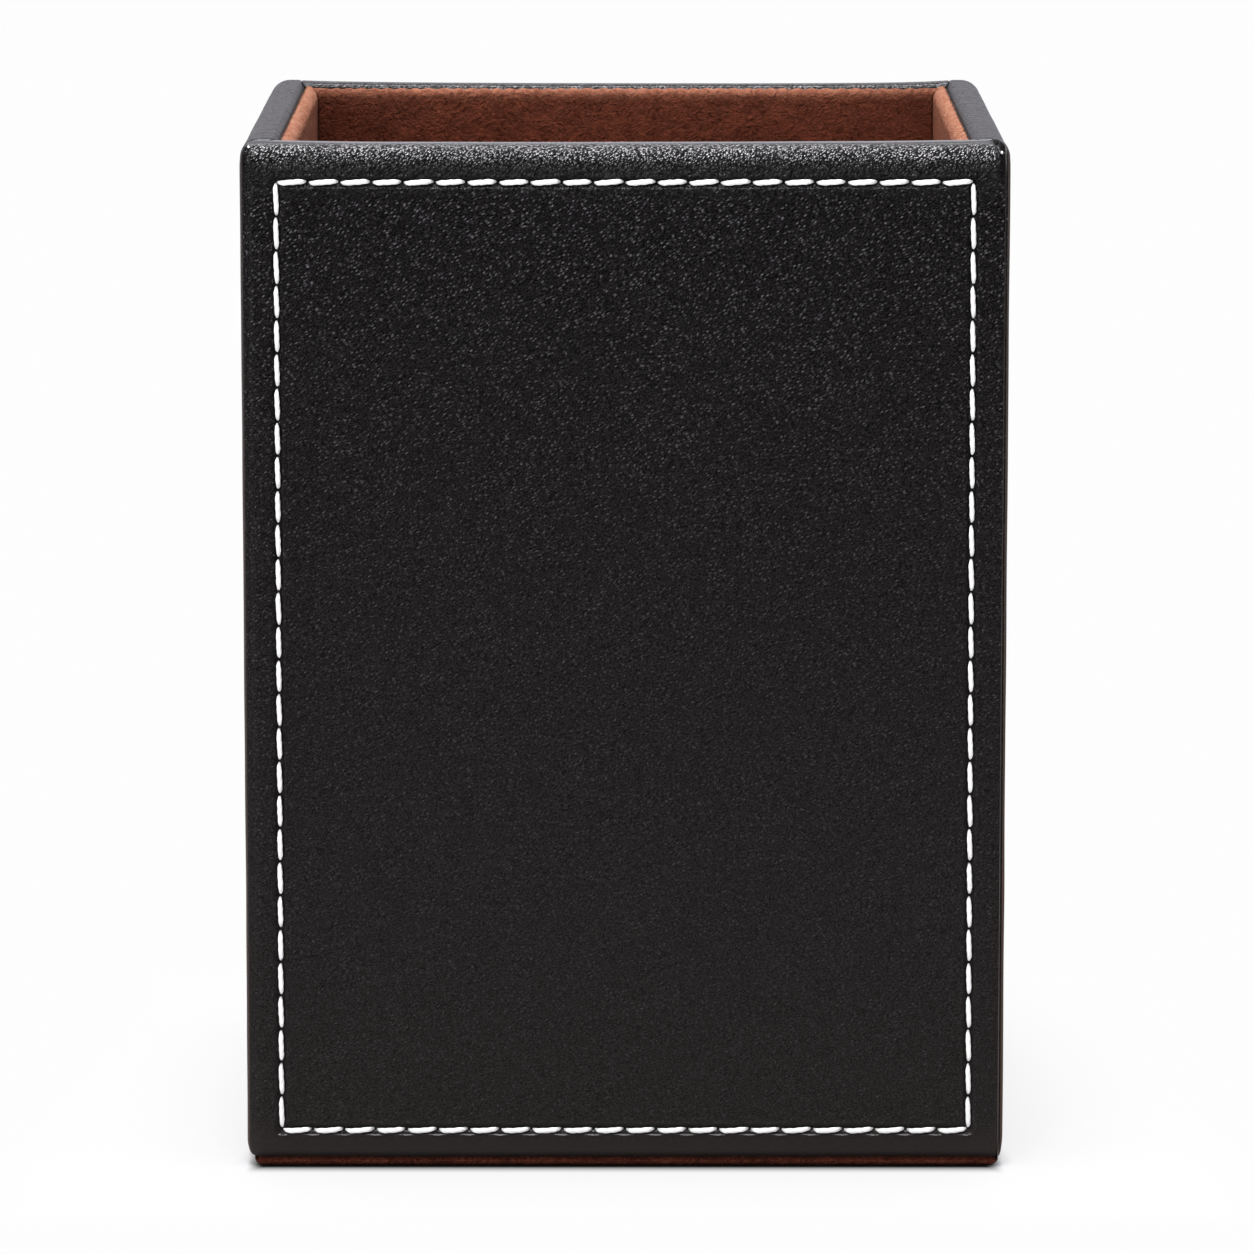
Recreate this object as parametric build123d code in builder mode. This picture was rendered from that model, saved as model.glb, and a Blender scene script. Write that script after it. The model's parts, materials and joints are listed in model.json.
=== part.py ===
"""Square leather-wrapped pen cup with a stitched front panel, suede lining and suede base."""

from build123d import *
from math import atan2, degrees
import os

# Overall size: width along X, depth along Y, height along Z, front face towards -Y
cup_width = 75.0
cup_depth = 75.0
cup_height = 101.5

# How the wall panels meet: the front laps the side walls, the back stands between them
side_reveal = 0.6
back_setback = 0.3

# Sheet materials
leather_thickness = 0.6
board_thickness = 2.4
padding_thickness = 0.8
suede_thickness = 0.5
card_thickness = 0.5

# Rolled edges: those of the boards, which the leather follows, and those of the finished lining.
# A roll takes at most its share of the thickness, and corners are a little rounder than rolls.
front_roll = 1.4
wall_roll = 1.0
board_back_roll = 0.4
lining_roll = 0.8
lining_back_roll = 0.6
face_roll_share = 0.55
back_roll_share = 0.42
corner_over_roll = 0.2

# Width of skin folded over onto the back of a panel
leather_turn_in = 14.0
suede_turn_in = 9.0

# Lining: how far its rim stays under the leather rim, and the slack round each loose panel
lining_drop = 0.4
panel_clearance = 0.1

# Base pad under the cup
base_thickness = 0.9
base_inset = 0.85
base_roll = 0.45
base_top_roll = 0.1

# Seam sewn round the front panel, measured from the panel's edges to the seam line
seam_inset_side = 3.03
seam_inset_top = 3.9
seam_inset_bottom = 2.9
seam_corner = 0.4
row_pitch = 3.08
column_pitch = 3.35
needle_gap = 0.4
row_lean = 5.0
column_lean = 2.5
thread_width = 0.56
thread_end_width = 0.24
thread_height = 0.35
thread_bevel = 0.1
thread_full_share = 0.5
groove_width = 1.0
groove_depth = 0.1
groove_depth_share = 0.5
bobbin_width = 0.5
bobbin_thickness = 0.3
bobbin_thickness_share = 0.5

# Sizes that follow from those above
wall_thickness = board_thickness + 2 * leather_thickness
front_core = board_thickness + padding_thickness
front_thickness = front_core + 2 * leather_thickness
lining_thickness = card_thickness + 2 * suede_thickness
panel_height = cup_height - base_thickness
panel_middle = base_thickness + panel_height / 2
front_width = cup_width - 2 * side_reveal
front_inner = -cup_depth / 2 + front_thickness
back_inner = cup_depth / 2 - back_setback - wall_thickness
side_inner = cup_width / 2 - wall_thickness
side_depth = cup_depth / 2 - front_inner
side_middle = (cup_depth / 2 + front_inner) / 2
well_width = 2 * side_inner
well_depth = back_inner - front_inner
well_middle = (back_inner + front_inner) / 2
floor_level = base_thickness + board_thickness
lining_height = cup_height - lining_drop - floor_level
lining_middle = floor_level + lining_height / 2
between_linings = 2 * (lining_thickness + panel_clearance)
groove = min(groove_depth, groove_depth_share * leather_thickness)
bobbin = min(bobbin_thickness, bobbin_thickness_share * padding_thickness)


def upright(x, y, z, facing):
    """Plane of a standing panel's back face: its local z looks along facing, its local y is up."""
    across = Vector(0, 0, 1).cross(Vector(*facing))
    return Plane(origin=(x, y, z), x_dir=across, z_dir=facing)


def rolled_slab(place, width, height, thickness, roll, back_roll):
    """Slab standing on a plane, with round corners and with its face and back edges rolled over."""
    face_radius = min(roll, face_roll_share * thickness)
    back_radius = min(back_roll, back_roll_share * thickness)
    level = Plane(place.origin, x_dir=place.x_dir, z_dir=-place.y_dir)
    plumb = Plane(place.origin, x_dir=place.y_dir, z_dir=place.x_dir)
    with BuildPart() as slab:
        with BuildSketch(place):
            RectangleRounded(width, height, face_radius + corner_over_roll)
        extrude(amount=thickness)
        for plane, span, length in ((level, width, height), (plumb, height, width)):
            with BuildSketch(plane) as section:
                with Locations((0, thickness / 2)):
                    Rectangle(span, thickness)
                fillet(section.vertices().group_by(Axis.Y)[-1], face_radius)
                fillet(section.vertices().group_by(Axis.Y)[0], back_radius)
            extrude(amount=length, both=True, mode=Mode.INTERSECT)
    return slab.part


def wrapped_board(place, width, height, thickness, roll):
    """Board of a panel, inside the leather that wraps it."""
    inset = 2 * leather_thickness
    seat = place.offset(leather_thickness)
    return rolled_slab(seat, width - inset, height - inset, thickness, roll, board_back_roll)


def leather_form(place, width, height, thickness, roll):
    """Outer form of a leather-wrapped panel, its rolls one leather thickness over the board's."""
    full = thickness + 2 * leather_thickness
    skin_roll = min(roll, face_roll_share * thickness) + leather_thickness
    skin_back_roll = min(board_back_roll, back_roll_share * thickness) + leather_thickness
    return rolled_slab(place, width, height, full, skin_roll, skin_back_roll)


def wrap(place, width, height, form, core, skin, turn_in):
    """Skin between a panel's form and its core, open at the back inside the turned-in edges."""
    with BuildPart() as cover:
        add(form)
        add(core, mode=Mode.SUBTRACT)
        with BuildSketch(place):
            Rectangle(width - 2 * turn_in, height - 2 * turn_in)
        extrude(amount=skin, mode=Mode.SUBTRACT)
    return cover.part


def seam_ring(place, band, depth):
    """Flat ring of a given band width along the seam, rising from a plane parallel to the front."""
    with BuildPart() as ring:
        with BuildSketch(place):
            with Locations((0, seam_middle)):
                RectangleRounded(seam_width + band, seam_height + band, seam_corner + band)
                RectangleRounded(seam_width - band, seam_height - band, seam_corner, mode=Mode.SUBTRACT)
        extrude(amount=depth)
    return ring.part


def thread_stitch(length):
    """Stitch lying along local x, full in the middle and thin where it dives into its needle holes."""
    full_length = thread_full_share * length
    with BuildPart() as stitch:
        with BuildSketch(Plane.XY):
            with BuildLine():
                Polyline(
                    (-length / 2, thread_end_width / 2),
                    (-full_length / 2, thread_width / 2),
                    (full_length / 2, thread_width / 2),
                    (length / 2, thread_end_width / 2),
                    (length / 2, 0),
                    (-length / 2, 0),
                    close=True,
                )
            make_face()
            mirror(about=Plane.XZ)
        extrude(amount=thread_height)
        chamfer(stitch.faces().sort_by(Axis.Z)[-1].edges(), thread_bevel)
    return stitch.part


def write_node(node, name):
    """Labels a finished piece and writes it under its name."""
    node.part.label = name
    export_step(node.part, f"parts/{name}.step")


os.makedirs("parts", exist_ok=True)

# Front panel: board, padding and leather, placed from the back face of the panel
front_place = upright(0, front_inner, panel_middle, (0, -1, 0))
front_form = wrapped_board(front_place, front_width, panel_height, front_core, front_roll)
padding_seat = front_place.offset(leather_thickness + board_thickness)
seam_floor = front_place.offset(front_thickness - groove)
seam_width = front_width - 2 * seam_inset_side
seam_height = panel_height - seam_inset_top - seam_inset_bottom
seam_middle = (seam_inset_bottom - seam_inset_top) / 2

with BuildPart() as front_board:
    add(front_form)
    split(bisect_by=padding_seat, keep=Keep.BOTTOM)
write_node(front_board, "front_board")

bobbin_loop = seam_ring(padding_seat, bobbin_width, bobbin)
with BuildPart() as front_padding:
    add(front_form)
    split(bisect_by=padding_seat, keep=Keep.TOP)
    add(bobbin_loop, mode=Mode.SUBTRACT)
write_node(front_padding, "front_padding")

with BuildPart() as front_bobbin_thread:
    add(bobbin_loop)
write_node(front_bobbin_thread, "front_bobbin_thread")

front_cover = leather_form(front_place, front_width, panel_height, front_core, front_roll)
front_wrap = wrap(
    front_place, front_width, panel_height, front_cover, front_form, leather_thickness, leather_turn_in
)
stitch_groove = seam_ring(seam_floor, groove_width, groove)
with BuildPart() as front_leather:
    add(front_wrap)
    add(stitch_groove, mode=Mode.SUBTRACT)
write_node(front_leather, "front_leather")

# Lockstitches on the groove's floor, run by run clockwise round the seam
seam_left = -seam_width / 2
seam_right = seam_width / 2
seam_top = seam_middle + seam_height / 2
seam_bottom = seam_middle - seam_height / 2
seam_runs = [
    (Vector(seam_left, seam_top), Vector(seam_right, seam_top), row_pitch, row_lean),
    (Vector(seam_right, seam_top), Vector(seam_right, seam_bottom), column_pitch, column_lean),
    (Vector(seam_right, seam_bottom), Vector(seam_left, seam_bottom), row_pitch, row_lean),
    (Vector(seam_left, seam_bottom), Vector(seam_left, seam_top), column_pitch, column_lean),
]
stitches = []
for start, end, pitch, lean in seam_runs:
    run = end - start
    count = round(run.length / pitch)
    stitch = thread_stitch(run.length / count - needle_gap)
    heading = degrees(atan2(run.Y, run.X)) + lean
    for index in range(count):
        middle = start + run * ((index + 0.5) / count)
        stitches.append(stitch.moved(seam_floor.location * Location(middle, (0, 0, heading))))
with BuildPart() as front_stitching:
    add(stitches)
write_node(front_stitching, "front_stitching")

# Side and back walls: boards wrapped in leather
walls = {
    "left": (upright(-side_inner, side_middle, panel_middle, (-1, 0, 0)), side_depth),
    "right": (upright(side_inner, side_middle, panel_middle, (1, 0, 0)), side_depth),
    "back": (upright(0, back_inner, panel_middle, (0, 1, 0)), well_width),
}
for side, (place, width) in walls.items():
    core = wrapped_board(place, width, panel_height, board_thickness, wall_roll)
    form = leather_form(place, width, panel_height, board_thickness, wall_roll)
    skin = wrap(place, width, panel_height, form, core, leather_thickness, leather_turn_in)
    with BuildPart() as wall_board:
        add(core)
    write_node(wall_board, f"{side}_board")
    with BuildPart() as wall_leather:
        add(skin)
    write_node(wall_leather, f"{side}_leather")

# Bottom board between the walls
with BuildPart() as bottom_board:
    with BuildSketch(Plane((0, well_middle, base_thickness))):
        Rectangle(well_width - 2 * panel_clearance, well_depth - 2 * panel_clearance)
    extrude(amount=board_thickness)
write_node(bottom_board, "bottom_board")

# Lining: suede-wrapped cards; the side pieces run the full depth, the rest fit between them
lining_end_width = well_width - between_linings
lining_side_width = well_depth - 2 * panel_clearance
floor_depth = well_depth - between_linings
floor_place = Plane((0, well_middle, floor_level))
linings = {
    "left": (upright(-side_inner, well_middle, lining_middle, (1, 0, 0)), lining_side_width, lining_height),
    "right": (upright(side_inner, well_middle, lining_middle, (-1, 0, 0)), lining_side_width, lining_height),
    "front": (upright(0, front_inner, lining_middle, (0, 1, 0)), lining_end_width, lining_height),
    "back": (upright(0, back_inner, lining_middle, (0, -1, 0)), lining_end_width, lining_height),
    "floor": (floor_place, lining_end_width, floor_depth),
}
for side, (place, width, height) in linings.items():
    with BuildPart() as lining_card:
        with BuildSketch(place.offset(suede_thickness)):
            Rectangle(width - 2 * suede_thickness, height - 2 * suede_thickness)
        extrude(amount=card_thickness)
    write_node(lining_card, f"{side}_lining_card")
    form = rolled_slab(place, width, height, lining_thickness, lining_roll, lining_back_roll)
    skin = wrap(place, width, height, form, lining_card.part, suede_thickness, suede_turn_in)
    with BuildPart() as lining_suede:
        add(skin)
    write_node(lining_suede, f"{side}_lining_suede")

# Suede base pad under the walls, its lower edge rounded under
base_place = Plane(origin=(0, 0, base_thickness), x_dir=(1, 0, 0), z_dir=(0, 0, -1))
base_width = cup_width - 2 * base_inset
base_depth = cup_depth - 2 * base_inset
base_form = rolled_slab(base_place, base_width, base_depth, base_thickness, base_roll, base_top_roll)
with BuildPart() as base_pad:
    add(base_form)
write_node(base_pad, "base_pad")
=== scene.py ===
import json
import math
from dataclasses import dataclass
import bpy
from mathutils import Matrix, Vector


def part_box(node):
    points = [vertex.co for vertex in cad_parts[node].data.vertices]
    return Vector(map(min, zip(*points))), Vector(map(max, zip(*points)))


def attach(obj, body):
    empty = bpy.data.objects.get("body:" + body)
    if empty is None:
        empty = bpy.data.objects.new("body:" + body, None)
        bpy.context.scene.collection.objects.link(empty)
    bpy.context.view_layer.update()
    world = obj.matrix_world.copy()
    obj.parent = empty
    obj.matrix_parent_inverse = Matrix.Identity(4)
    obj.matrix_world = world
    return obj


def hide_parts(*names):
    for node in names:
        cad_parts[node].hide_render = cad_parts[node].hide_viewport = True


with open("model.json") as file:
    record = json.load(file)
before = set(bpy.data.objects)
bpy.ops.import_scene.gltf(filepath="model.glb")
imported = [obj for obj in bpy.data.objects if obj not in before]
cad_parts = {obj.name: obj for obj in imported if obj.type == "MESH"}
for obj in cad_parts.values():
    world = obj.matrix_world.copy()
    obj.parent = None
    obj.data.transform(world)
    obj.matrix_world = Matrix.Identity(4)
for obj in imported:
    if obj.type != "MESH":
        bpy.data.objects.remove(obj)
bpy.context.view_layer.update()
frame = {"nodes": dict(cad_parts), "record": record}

from types import SimpleNamespace

import bpy
import numpy as np
from mathutils import Matrix, Vector, noise

MM = 0.001
TINY = 1e-9

# Camera: the photograph's viewpoint, fitted to the outline, the rim and the stitch rows
PHOTO_SIDE_PX = 1254
FOCAL_PX = 8106.1
SENSOR_MM = 36.0
CAMERA_PLACE_MM = (0.72, -821.63, 171.88)
CAMERA_PITCH_DEG = 8.551
CAMERA_YAW_DEG = -0.037
CAMERA_SIGHT_M = 50

# Sewn seam on the front panel, as the solids have it (millimetres from the panel's edges)
SEAM_INSET_SIDE = 3.03
SEAM_INSET_TOP = 3.9
SEAM_INSET_BOTTOM = 2.9
ROW_PITCH = 3.08
COLUMN_PITCH = 3.35
ROW_LEAN_DEG = 4.5
COLUMN_LEAN_DEG = 2.5

# Leather and suede over the boards and cards (millimetres)
LEATHER = 0.6
LEATHER_TURN_IN = 14.0
SUEDE = 0.5
SUEDE_TURN_IN = 9.0
SIDE_ROLL = 1.3
END_ROLL = 0.8
WALL_INNER_ROLL = 0.8
LEAST_CORE_ROLL = 0.05
INNER_ROLL_STEPS = 8
CORE_ROLL_STEPS = 4
BACK_WAVE_SIZE = 0.9

# Unevenness of the covers and how they are pressed together (millimetres)
FACE_WAVES = 0.035
FACE_WAVE_SIZE = 9.0
WALL_WAVES = 0.04
WALL_WAVE_SIZE = 8.0
WALL_FULLNESS = 0.12
WALL_RIM_SHARE = 0.3
WALL_PRESS = 0.25
WALL_PRESS_REACH = 1.5
BACK_PRESS_SHARE = 0.75
BACK_PRESS_REACH = 2.0

# Nap and wrinkles of the suede, and the drop and ends of its rim (millimetres)
NAP_WAVES = 0.035
NAP_FINE = 1.1
NAP_COARSE = 3.0
SUEDE_WRINKLE = 0.07
SUEDE_WRINKLE_PITCH = 1.4
SUEDE_WRINKLE_WANDER = 3.0
SUEDE_WANDER_SIZE = 4.0
SUEDE_RIM_REACH = 3.0
SUEDE_DROP_REACH = 20.0
SUEDE_END_REACH = 1.5
SUEDE_END_FLARE = 14.0

# Sag of the rim between the corners (millimetres), and a narrow dip of its crest, deeper to the left
RIM_SAG = 0.12
RIM_SAG_REACH = 14.0
RIM_DIP = 0.18
RIM_DIP_TILT = 0.35
RIM_DIP_POWER = 8
RIM_DIP_REACH = 1.2

# Groove, needle holes and puckers pressed into the leather by the seam (millimetres)
GROOVE_DEPTH = 0.26
GROOVE_HALF_WIDTH = 0.42
HOLE_DEPTH = 0.25
HOLE_ACROSS = 0.3
HOLE_ALONG = 0.34
PUCKER_HEIGHT = 0.14
PUCKER_DISTANCE = 0.62
PUCKER_WIDTH = 0.16
PUCKER_LENGTH = 0.55
RUN_END_FADE = 0.6

# Side edges and corners of the front panel (millimetres)
EDGE_FIT = 0.46
EDGE_FULLNESS = 0.14
EDGE_REACH = 2.6
LEFT_CORNER_HEIGHT = 1.7
LEFT_CORNER_INSET = 0.8
RIGHT_CORNER_HEIGHT = 2.6
RIGHT_CORNER_INSET = 0.5
TOP_CORNER_HEIGHT = 1.4
TOP_CORNER_INSET = 0.9

# Crease along the front panel's right edge, which opens into a fold at the upper corner (millimetres)
CREASE_FROM_EDGE = 0.34
CREASE_DEPTH = 0.35
CREASE_HALF_WIDTH = 0.09
FOLD_DEPTH = 0.25
FOLD_HALF_WIDTH = 0.3
FOLD_SHIFT = 0.7
FOLD_HEIGHT = 4.0
LIP_FROM_EDGE = 0.48
LIP_HEIGHT = 0.06
LIP_HALF_WIDTH = 0.06

# Beads and dents of the folded leather at the upper corners (millimetres):
# place across, distance from the top, height, half width, half height
CORNER_MARKS = (
    (-36.1, 0.52, 0.16, 0.2, 0.12),
    (-36.35, 0.85, -0.18, 0.42, 0.1),
    (36.13, 1.02, 0.2, 0.18, 0.16),
)

# Painted highlights (white glints) at the upper corners of the front panel, which are glossier there too:
# place across and height, full and outer radius
GLOSSY_PAINTED_GLINT_SPOTS = ((-36.55, 100.95), (36.62, 100.41))
PAINTED_GLINT_RADII = (0.084, 0.14)

# Grids of the covers (millimetres): spacing on the faces, reach and step of the finer lines
FRONT_SPACING = 0.38
SEAM_LINES = (1.2, 0.1)
FOLD_FROM_EDGE = 1.0
FOLD_LINES = (0.5, 0.05)
LINING_RIM_FROM_TOP = 2.0
LINING_RIM_LINES = (1.2, 0.2)

# Base pad: ragged edge, reach past the glued outline, height of the brim and how far its top is drawn in
PAD_RAGGED = 0.07
PAD_RAGGED_SIZE = 1.1
PAD_FORWARD = 0.35
PAD_RIGHT = 0.3
PAD_BRIM = 0.3
PAD_DRAWN_IN = 0.6

# Thread of the stitches (millimetres)
ROW_THREAD_RADIUS = 0.27
COLUMN_THREAD_RADIUS = 0.25
NEEDLE_GAP = 0.24
THREAD_RISE = -0.02
THREAD_DIVE = 0.5
THREAD_PLIES = 3
PLY_DEPTH = 0.13
PLY_TURNS = 1.1
STITCH_SAG = 0.1
STITCH_LENGTH_SPREAD = 0.12

# Form of a stitch: steps around and along, flatness, how sharply it tapers, dives and straightens at its ends
THREAD_AROUND = 18
THREAD_ALONG = 23
THREAD_FLATNESS = 0.85
STITCH_POINT = 0.7
TAPER_POWER = 5
DIVE_POWER = 7
STRAIGHTEN_POWER = 4
STITCH_LEAN_SPREAD = 0.5
TWIST_STEP = 0.7

# Seeds of the noise: step between one seed and the next, and where each kind of cover starts
NOISE_STEP = (17.3, 5.1, 9.7)
STITCH_NOISE_STEP = 1.7
STITCH_NOISE_PLACE = (0.3, 0.9)
FRONT_SEED = 1
WALL_SEED = 2
BACK_EDGE_SEED = 7
LINING_SEED = 10
PAD_SEED = 30

# Middle stretch of the shader's noise, which is spread from 0 to 1
NOISE_MIDDLE = (0.3, 0.7)

# Grain of the black leather: sizes and depths (millimetres), slant, stretch along the slant
GRAIN_SWAY = 1.6
GRAIN_SWAY_SIZE = 9.0
GRAIN_SLANT_DEG = -35
PEBBLE_SIZE = 0.2
PEBBLE_STRETCH = 1.75
SPECK_PAINT_STRETCH = 2.5
WRINKLE_SIZE = 0.3
WRINKLE_SHARE = 0.5
GROUND_SIZE = 0.11
PATCH_SIZE = 6.0
PATCH_LEVELS = (0.9, 1.0)
GRAIN_DEPTH = 0.23
STREAK_SIZE = 1.0
STREAK_STRETCH = (6.0, 0.9, 6.0)
STREAK_DEPTH = 0.2

# Where the leather changes (millimetres): heights, then places across and along, at the edges of the panels
FADE_BAND = (0.0, 95.0)
ROLL_BAND = (95.5, 98.5)
RIM_BAND = (97.5, 100.0)
GLOSS_BAND = (98.6, 100.4)
CREST_TOP = 101.2
FOOT_BAND = (1.5, 5.0)
LEFT_EDGE_BAND = (-36.9, -36.7)
RIGHT_EDGE_BAND = (36.2, 36.4)
WALL_END_BAND = (-32.5, -33.0)
# Band of painted reflection along the side edges, and how far back from the front it reaches
PAINTED_EDGE_BAND = (37.02, 37.12)
PAINTED_EDGE_FRONT = (-36.1, -35.8)
MIDDLE_BAND = (-1.0, 1.0)
EDGE_DRIFT = 0.14
# Painted highlight: a light line beside the crease at the right edge
PAINTED_LINE_X = 36.86
PAINTED_LINE_BAND = (0.03, 0.08)

# Levels of the leather's grain and gloss (shares), and the slopes where it is stretched
FACE_GRAIN = 0.12
CREST_GRAIN = 0.12
FOOT_GRAIN = 0.4
POLISHED_GRAIN = (0.9, 1.25)
DULLEST_PEBBLE = 0.4
LOWER_ROLL_GLOSS = 0.7
FACE_GLOSS = 0.1
STRETCH_SLOPE = (0.2, 0.45)
STRETCH_COAT = 0.5
STRETCH_LEVELS = (0.8, 2.0)
RIDGE_SLOPE = (0.985, 0.997)
RIDGE_COAT = 0.35
RAISED_GRAIN = (0.7, 1.2)
RAISED_ROUGHNESS = (0.5, 0.3)

# Painted highlights on the leather's face, as light specks: radius in cells, least luck that shows, spread,
# fade towards the foot
SPECK_PAINT_RADII = (0.12, 0.4)
SPECK_PAINT_LEAST_LUCK = 0.1
SPECK_PAINT_SPREAD_POWER = 1.35
SPECK_PAINT_FADE_POWER = 3.0
LOWEST_SPECK_PAINT = 0.2

# Colours of the leather: ramps of (position, colour) and plain colours
UPPER_GROUND = ((0.3, (0.0002, 0.0001, 0.0001)), (0.9, (0.0145, 0.013, 0.0138)))
# Painted reflection of the floor: the lower ground is paler
LOWER_GROUND_PAINTED_BOUNCE = ((0.15, (0.0085, 0.0071, 0.0068)), (0.85, (0.0225, 0.0193, 0.0188)))
GROUND_FADE_POWER = 0.7
# Painted reflection: brown-grey tint along the side edges, browner towards the foot
EDGE_PAINTED_REFLECTION_TINT = ((0.0, (0.075, 0.045, 0.034)), (1.0, (0.06, 0.05, 0.045)))
LEFT_PAINTED_EDGE_SHARE = 0.6
# Painted highlight: colour of the light line beside the right crease, paler towards the foot
PAINTED_HIGHLIGHT_LINE_TINT = ((0.0, (0.15, 0.13, 0.118)), (1.0, (0.07, 0.063, 0.058)))
# Painted highlight: colour of the light specks on the face
PAINTED_SPECK_COLOR = (0.155, 0.15, 0.156, 1.0)
# Painted reflection of the floor: paler colour at the foot of the face
PAINTED_BOUNCE_FOOT_COLOR = (0.022, 0.018, 0.0168, 1.0)
# Painted highlight: colour of the glints at the upper corners
PAINTED_GLINT_COLOR = (0.8, 0.8, 0.82, 1.0)

# Suede: sizes of its marks and heights of its paler bands, part wear and part painted light (millimetres),
# shares of nap and brush marks
SUEDE_NAP_SIZE = 0.7
SUEDE_BRUSH_SIZE = 3.0
SUEDE_FIBRE_SIZE = 0.16
SUEDE_FIBRE_SHARE = 0.5
SUEDE_CREASE_SIZE = 0.8
SUEDE_CREASE_STRETCH = (1.0, 1.7, 1.0)
SUEDE_NAP_SHARE = 0.65
SUEDE_BRUSH_SHARE = 0.35
SUEDE_MOTTLE = (0.36, 0.64)
SUEDE_UPPER_BAND = (93.0, 100.0)
SUEDE_RIM_BAND = (99.5, 101.0)
SUEDE_CREASES = (0.38, 0.62)
SUEDE_LEAST_WEAR_AND_LIGHT = 0.45
SUEDE_CORNER_BAND = (22.0, 31.0)
SUEDE_DEPTH = 0.25

# Floor: bands round the cup for its painted contact shadow, its shadow and the white beyond (millimetres)
FLOOR_SIDE_M = 8.0
CONTACT_AHEAD = (-37.2, -40.6)
CONTACT_BESIDE = (35.8, 37.4)
# Painted shadow: floor colour from dark at the cup to pale beyond
PAINTED_CONTACT_SHADOW = ((0.0, (0.01, 0.01, 0.01)), (1.0, (0.6, 0.6, 0.6)))
SHADOW_DEPTH = (-37.0, 37.0)
SHADOW_NARROWING = (1 * MM, 11 * MM)
NEAR_BAND = (37.3, 40.0)
NEAR_SHARE = 0.75
FAR_BAND = (40.0, 64.0)
FAR_SHARE = 0.25
FOREGROUND_BAND = (-180.0, -80.0)
FLOOR_WHITE = (0.985, 0.985, 0.985, 1)

# Studio: direction from and to, brightness from and to
FRONT_TO_BACK = (-0.8, 0.5, 0.12, 1.0)
MIDDLE_TO_SIDE = (0.3, 0.85, 1.0, 0.25)
STUDIO_TINT = (0.94, 0.915, 1.0, 1)


@dataclass
class Wrap:
    """How a cover goes round its board: roll of each edge, squareness of the corners, inner roll, skin."""

    left: float
    right: float
    bottom: float
    top: float
    inner: float
    skin: float
    turn_in: float
    square_top: float = 2.0
    square_bottom: float = 2.0
    stand_off: float = 0.0
    ragged: float = 0.0


@dataclass
class LeatherFinish:
    """How one wall's leather differs: grain, gloss and streaks of its rim, polish of its crest, its edges,
    and the gloss and painted light at the front panel's edges and corners.
    """

    name: str
    rim_grain: float
    rim_gloss: float
    rim_streaks: float
    crest_polish: float
    edge_grain: float = 1.0
    # Gloss of stretched slopes, with painted reflection, painted highlights and glints at the front panel's
    # edges and corners
    edge_gloss_and_painted_light: float = 0.0
    end_gloss: float = 0.0
    crest_start: float = 100.5
    crest_coat: float = 0.175


@dataclass
class SuedeFinish:
    """Colours of a suede and how it pales towards the rim, part wear and part painted light, its sheen and
    the painted shade in its corners.
    """

    name: str
    dark: tuple
    light: tuple
    rubbed_and_lit: tuple
    upper_wear_and_light: float
    sheen: float
    corner_shade: float = 0.0


class Panel:
    """A wrapped panel's own axes: u across, v up, w out of its face, in millimetres from its back."""

    def __init__(self, node, facing):
        low, high = (Vector(corner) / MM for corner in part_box(node))
        self.out = Vector(facing)
        self.up = Vector((0, 0, 1)) if abs(self.out.z) < 0.5 else Vector((0, 1, 0))
        self.across = self.up.cross(self.out)
        size = high - low
        self.width = abs(size.dot(self.across))
        self.height = abs(size.dot(self.up))
        self.thickness = abs(size.dot(self.out))
        self.origin = (low + high) / 2 - self.out * (self.thickness / 2)

    def to_world(self, points):
        """Panel coordinates to the shared frame, in metres."""
        axes = np.array([self.across, self.up, self.out])
        return (np.asarray(points) @ axes + np.array(self.origin)) * MM


def make_piece(name, vertices, faces, material, node):
    """Smooth mesh object that stands for a solid of the frame and rides on its body."""
    mesh = bpy.data.meshes.new(name)
    mesh.from_pydata([tuple(v) for v in vertices], [], faces)
    mesh.polygons.foreach_set("use_smooth", [True] * len(mesh.polygons))
    mesh.update()
    mesh.validate()
    piece = bpy.data.objects.new(name, mesh)
    bpy.context.scene.collection.objects.link(piece)
    piece.data.materials.append(material)
    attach(piece, "root")
    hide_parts(node)
    return piece


def ticks(length, low_roll, high_roll, roll_steps, spacing, fine=()):
    """Grid lines across a panel: even steps on the rolls, spacing between, finer near given lines."""
    half = length / 2
    low = low_roll - half
    high = half - high_roll
    marks = [np.linspace(-half, low, roll_steps + 1), np.linspace(high, half, roll_steps + 1)]
    marks.append(np.linspace(low, high, max(2, round((high - low) / spacing)) + 1))
    for centre, reach, step in fine:
        count = round(2 * reach / step)
        marks.append(np.clip(np.linspace(centre - reach, centre + reach, count + 1), low, high))
    lines = np.unique(np.round(np.concatenate(marks), 4))
    smallest = min(low_roll, high_roll) / roll_steps / 2
    keep = np.concatenate([[True], np.diff(lines) > smallest])
    keep[-1] = True
    return lines[keep]


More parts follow.
